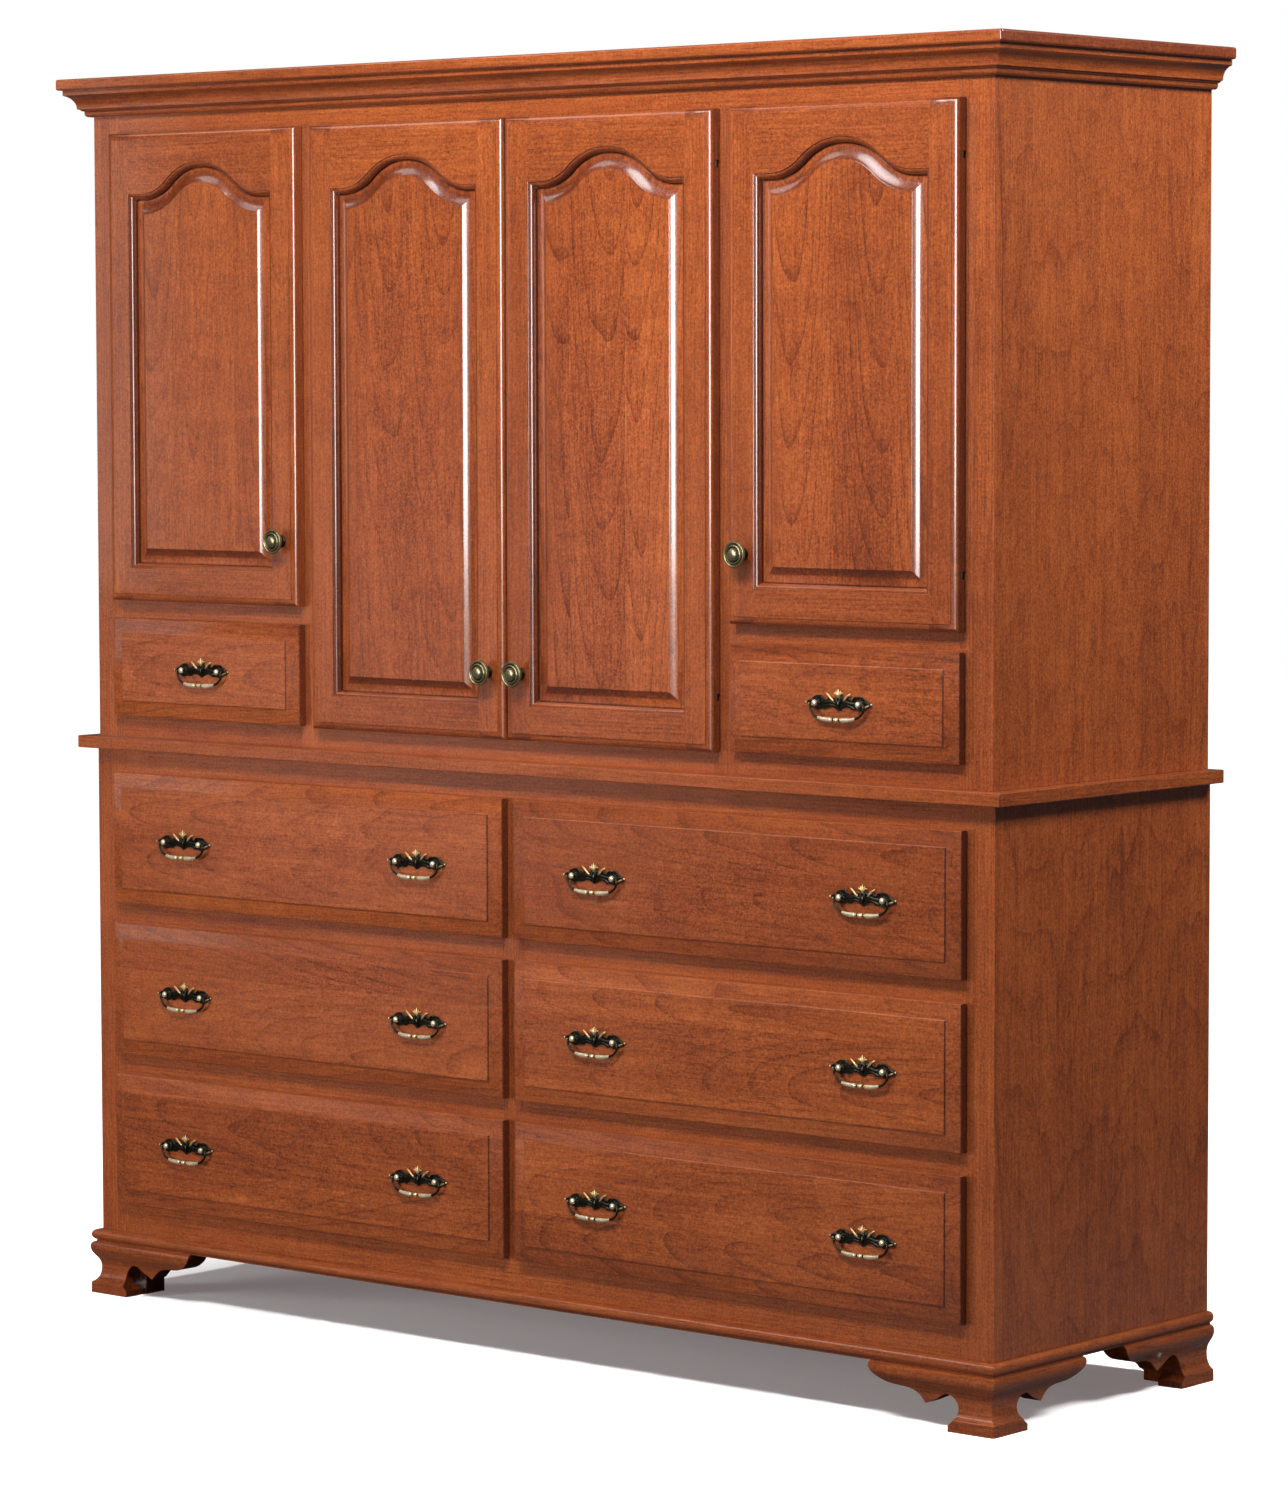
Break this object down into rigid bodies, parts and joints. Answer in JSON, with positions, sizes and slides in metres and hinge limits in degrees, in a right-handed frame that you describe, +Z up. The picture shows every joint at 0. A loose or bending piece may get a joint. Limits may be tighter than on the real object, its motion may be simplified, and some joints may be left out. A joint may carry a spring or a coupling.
{
  "type": "armoire",
  "caption": "Wide cherry armoire: arched raised-panel doors and small drawers over a six-drawer dresser, with crown moulding, ogee bracket feet, bail pulls and round knobs.",
  "frame": {"origin": "on the floor, under the middle of the whole object's bounding box", "axes": "+Z up; the doors and drawers open towards -Y; +X is to the right as seen from the front"},
  "size_m": [1.825, 0.564, 1.905],
  "materials": {
    "cherry": "reddish cherry stain under a satin lacquer",
    "secondary_wood": "plain sanded wood",
    "antique_brass": "antique brass, darkened and rubbed bright on high spots",
    "steel": "plain steel"
  },
  "bodies": {
    "case": {"lower_side_right": "cherry", "lower_side_left": "cherry", "lower_divider": "cherry", "lower_bottom": "cherry", "lower_back": "secondary_wood", "lower_face_frame": "cherry", "dresser_top": "cherry", "base_moulding": "cherry", "bracket_feet": "cherry", "upper_side_right": "cherry", "upper_side_left": "cherry", "upper_partitions": "cherry", "upper_bottom": "cherry", "upper_top": "cherry", "upper_back": "secondary_wood", "upper_face_frame": "cherry", "shelves_and_decks": "cherry", "shelf_pins_and_dowels": "steel", "crown_moulding": "cherry", "crown_cap": "cherry", "drawer_runners": "secondary_wood", "hinge_brackets": "steel"},
    "outer_door_left": {"outer_door_left": "cherry", "outer_door_left_knob_and_pins": "antique_brass"},
    "inner_door_left": {"inner_door_left": "cherry", "inner_door_left_knob_and_pins": "antique_brass"},
    "outer_door_right": {"outer_door_right": "cherry", "outer_door_right_knob_and_pins": "antique_brass"},
    "inner_door_right": {"inner_door_right": "cherry", "inner_door_right_knob_and_pins": "antique_brass"},
    "small_drawer_left": {"small_drawer_left": "cherry", "small_drawer_left_pull_plates": "antique_brass"},
    "small_drawer_left_bail_1": {"small_drawer_left_bail_1": "antique_brass"},
    "top_drawer_left": {"top_drawer_left": "cherry", "top_drawer_left_pull_plates": "antique_brass"},
    "top_drawer_left_bail_1": {"top_drawer_left_bail_1": "antique_brass"},
    "top_drawer_left_bail_2": {"top_drawer_left_bail_2": "antique_brass"},
    "middle_drawer_left": {"middle_drawer_left": "cherry", "middle_drawer_left_pull_plates": "antique_brass"},
    "middle_drawer_left_bail_1": {"middle_drawer_left_bail_1": "antique_brass"},
    "middle_drawer_left_bail_2": {"middle_drawer_left_bail_2": "antique_brass"},
    "bottom_drawer_left": {"bottom_drawer_left": "cherry", "bottom_drawer_left_pull_plates": "antique_brass"},
    "bottom_drawer_left_bail_1": {"bottom_drawer_left_bail_1": "antique_brass"},
    "bottom_drawer_left_bail_2": {"bottom_drawer_left_bail_2": "antique_brass"},
    "small_drawer_right": {"small_drawer_right": "cherry", "small_drawer_right_pull_plates": "antique_brass"},
    "small_drawer_right_bail_1": {"small_drawer_right_bail_1": "antique_brass"},
    "top_drawer_right": {"top_drawer_right": "cherry", "top_drawer_right_pull_plates": "antique_brass"},
    "top_drawer_right_bail_1": {"top_drawer_right_bail_1": "antique_brass"},
    "top_drawer_right_bail_2": {"top_drawer_right_bail_2": "antique_brass"},
    "middle_drawer_right": {"middle_drawer_right": "cherry", "middle_drawer_right_pull_plates": "antique_brass"},
    "middle_drawer_right_bail_1": {"middle_drawer_right_bail_1": "antique_brass"},
    "middle_drawer_right_bail_2": {"middle_drawer_right_bail_2": "antique_brass"},
    "bottom_drawer_right": {"bottom_drawer_right": "cherry", "bottom_drawer_right_pull_plates": "antique_brass"},
    "bottom_drawer_right_bail_1": {"bottom_drawer_right_bail_1": "antique_brass"},
    "bottom_drawer_right_bail_2": {"bottom_drawer_right_bail_2": "antique_brass"}
  },
  "joints": [
    {"name": "outer_door_left_hinge", "type": "hinge", "parent": "case", "child": "outer_door_left", "pos_m": [-0.82, -0.2415, 1.45825], "axis": [0, 0, -1], "range_deg": [0, 105]},
    {"name": "inner_door_left_hinge", "type": "hinge", "parent": "case", "child": "inner_door_left", "pos_m": [-0.389, -0.2415, 1.3665], "axis": [0, 0, -1], "range_deg": [0, 90]},
    {"name": "outer_door_right_hinge", "type": "hinge", "parent": "case", "child": "outer_door_right", "pos_m": [0.82, -0.2415, 1.45825], "axis": [0, 0, 1], "range_deg": [0, 105]},
    {"name": "inner_door_right_hinge", "type": "hinge", "parent": "case", "child": "inner_door_right", "pos_m": [0.389, -0.2415, 1.3665], "axis": [0, 0, 1], "range_deg": [0, 90]},
    {"name": "small_drawer_left_slide", "type": "slide", "parent": "case", "child": "small_drawer_left", "axis": [0, -1, 0], "range_m": [0, 0.3]},
    {"name": "small_drawer_left_bail_1_pivot", "type": "hinge", "parent": "small_drawer_left", "child": "small_drawer_left_bail_1", "pos_m": [-0.62175, -0.261, 0.9935], "axis": [-1, 0, 0], "range_deg": [0, 90]},
    {"name": "top_drawer_left_slide", "type": "slide", "parent": "case", "child": "top_drawer_left", "axis": [0, -1, 0], "range_m": [0, 0.38]},
    {"name": "top_drawer_left_bail_1_pivot", "type": "hinge", "parent": "top_drawer_left", "child": "top_drawer_left_bail_1", "pos_m": [-0.6643, -0.261, 0.7255], "axis": [-1, 0, 0], "range_deg": [0, 90]},
    {"name": "top_drawer_left_bail_2_pivot", "type": "hinge", "parent": "top_drawer_left", "child": "top_drawer_left_bail_2", "pos_m": [-0.1743, -0.261, 0.7255], "axis": [-1, 0, 0], "range_deg": [0, 90]},
    {"name": "middle_drawer_left_slide", "type": "slide", "parent": "case", "child": "middle_drawer_left", "axis": [0, -1, 0], "range_m": [0, 0.38]},
    {"name": "middle_drawer_left_bail_1_pivot", "type": "hinge", "parent": "middle_drawer_left", "child": "middle_drawer_left_bail_1", "pos_m": [-0.6643, -0.261, 0.4885], "axis": [-1, 0, 0], "range_deg": [0, 90]},
    {"name": "middle_drawer_left_bail_2_pivot", "type": "hinge", "parent": "middle_drawer_left", "child": "middle_drawer_left_bail_2", "pos_m": [-0.1743, -0.261, 0.4885], "axis": [-1, 0, 0], "range_deg": [0, 90]},
    {"name": "bottom_drawer_left_slide", "type": "slide", "parent": "case", "child": "bottom_drawer_left", "axis": [0, -1, 0], "range_m": [0, 0.38]},
    {"name": "bottom_drawer_left_bail_1_pivot", "type": "hinge", "parent": "bottom_drawer_left", "child": "bottom_drawer_left_bail_1", "pos_m": [-0.6643, -0.261, 0.2515], "axis": [-1, 0, 0], "range_deg": [0, 90]},
    {"name": "bottom_drawer_left_bail_2_pivot", "type": "hinge", "parent": "bottom_drawer_left", "child": "bottom_drawer_left_bail_2", "pos_m": [-0.1743, -0.261, 0.2515], "axis": [-1, 0, 0], "range_deg": [0, 90]},
    {"name": "small_drawer_right_slide", "type": "slide", "parent": "case", "child": "small_drawer_right", "axis": [0, -1, 0], "range_m": [0, 0.3]},
    {"name": "small_drawer_right_bail_1_pivot", "type": "hinge", "parent": "small_drawer_right", "child": "small_drawer_right_bail_1", "pos_m": [0.62175, -0.261, 0.9935], "axis": [-1, 0, 0], "range_deg": [0, 90]},
    {"name": "top_drawer_right_slide", "type": "slide", "parent": "case", "child": "top_drawer_right", "axis": [0, -1, 0], "range_m": [0, 0.38]},
    {"name": "top_drawer_right_bail_1_pivot", "type": "hinge", "parent": "top_drawer_right", "child": "top_drawer_right_bail_1", "pos_m": [0.1743, -0.261, 0.7255], "axis": [-1, 0, 0], "range_deg": [0, 90]},
    {"name": "top_drawer_right_bail_2_pivot", "type": "hinge", "parent": "top_drawer_right", "child": "top_drawer_right_bail_2", "pos_m": [0.6643, -0.261, 0.7255], "axis": [-1, 0, 0], "range_deg": [0, 90]},
    {"name": "middle_drawer_right_slide", "type": "slide", "parent": "case", "child": "middle_drawer_right", "axis": [0, -1, 0], "range_m": [0, 0.38]},
    {"name": "middle_drawer_right_bail_1_pivot", "type": "hinge", "parent": "middle_drawer_right", "child": "middle_drawer_right_bail_1", "pos_m": [0.1743, -0.261, 0.4885], "axis": [-1, 0, 0], "range_deg": [0, 90]},
    {"name": "middle_drawer_right_bail_2_pivot", "type": "hinge", "parent": "middle_drawer_right", "child": "middle_drawer_right_bail_2", "pos_m": [0.6643, -0.261, 0.4885], "axis": [-1, 0, 0], "range_deg": [0, 90]},
    {"name": "bottom_drawer_right_slide", "type": "slide", "parent": "case", "child": "bottom_drawer_right", "axis": [0, -1, 0], "range_m": [0, 0.38]},
    {"name": "bottom_drawer_right_bail_1_pivot", "type": "hinge", "parent": "bottom_drawer_right", "child": "bottom_drawer_right_bail_1", "pos_m": [0.1743, -0.261, 0.2515], "axis": [-1, 0, 0], "range_deg": [0, 90]},
    {"name": "bottom_drawer_right_bail_2_pivot", "type": "hinge", "parent": "bottom_drawer_right", "child": "bottom_drawer_right_bail_2", "pos_m": [0.6643, -0.261, 0.2515], "axis": [-1, 0, 0], "range_deg": [0, 90]}
  ]
}
